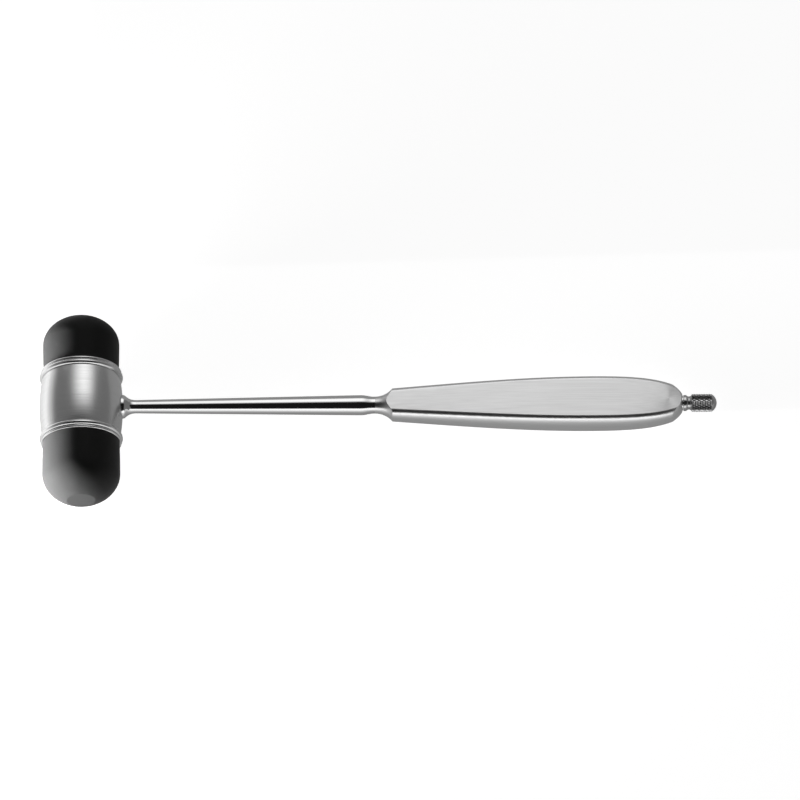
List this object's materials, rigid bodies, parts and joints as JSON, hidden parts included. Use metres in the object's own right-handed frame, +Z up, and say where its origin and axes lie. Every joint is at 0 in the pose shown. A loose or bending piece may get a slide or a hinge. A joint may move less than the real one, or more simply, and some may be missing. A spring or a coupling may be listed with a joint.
{
  "type": "reflex hammer",
  "caption": "Reflex hammer with a turned barrel head, a rubber insert in each end, a tapered rod, a flat-sided hollow handle and a needle kept in its butt.",
  "frame": {"origin": "middle of the overall box at the level of the surface that the hammer lies on", "axes": "+X runs from the head to the knob, with the handle sloping gently down to its heel; +Y runs along the head from the larger insert to the smaller one; +Z is up"},
  "size_m": [0.2098, 0.062, 0.0259],
  "materials": {
    "polished_steel": "polished with fine turning marks",
    "satin_steel": "brushed along the handle",
    "knurled_steel": "diamond knurled",
    "black_rubber": "smooth satin"
  },
  "bodies": {
    "hammer": {"head_barrel": "polished_steel", "far_insert": "black_rubber", "near_insert": "black_rubber", "shank": "polished_steel", "handle_upper_shell": "satin_steel", "handle_lower_shell": "satin_steel", "needle_bushing": "polished_steel"},
    "needle": {"needle_pin": "polished_steel"},
    "knob": {"needle_knob": "knurled_steel"}
  },
  "joints": [
    {"name": "needle_travel", "type": "slide", "parent": "hammer", "child": "needle", "axis": [0.9988, 0, -0.0489], "range_m": [0, 0.033]},
    {"name": "knob_turn", "type": "hinge", "parent": "needle", "child": "knob", "pos_m": [0.09446, 0.00114, 0.00383], "axis": [0.9988, 0, -0.0489], "range_deg": [0, 15841]}
  ],
  "couplings": [
    {"joint": "knob_turn", "follows": "needle_travel", "rad_per_m": 8377.6}
  ]
}
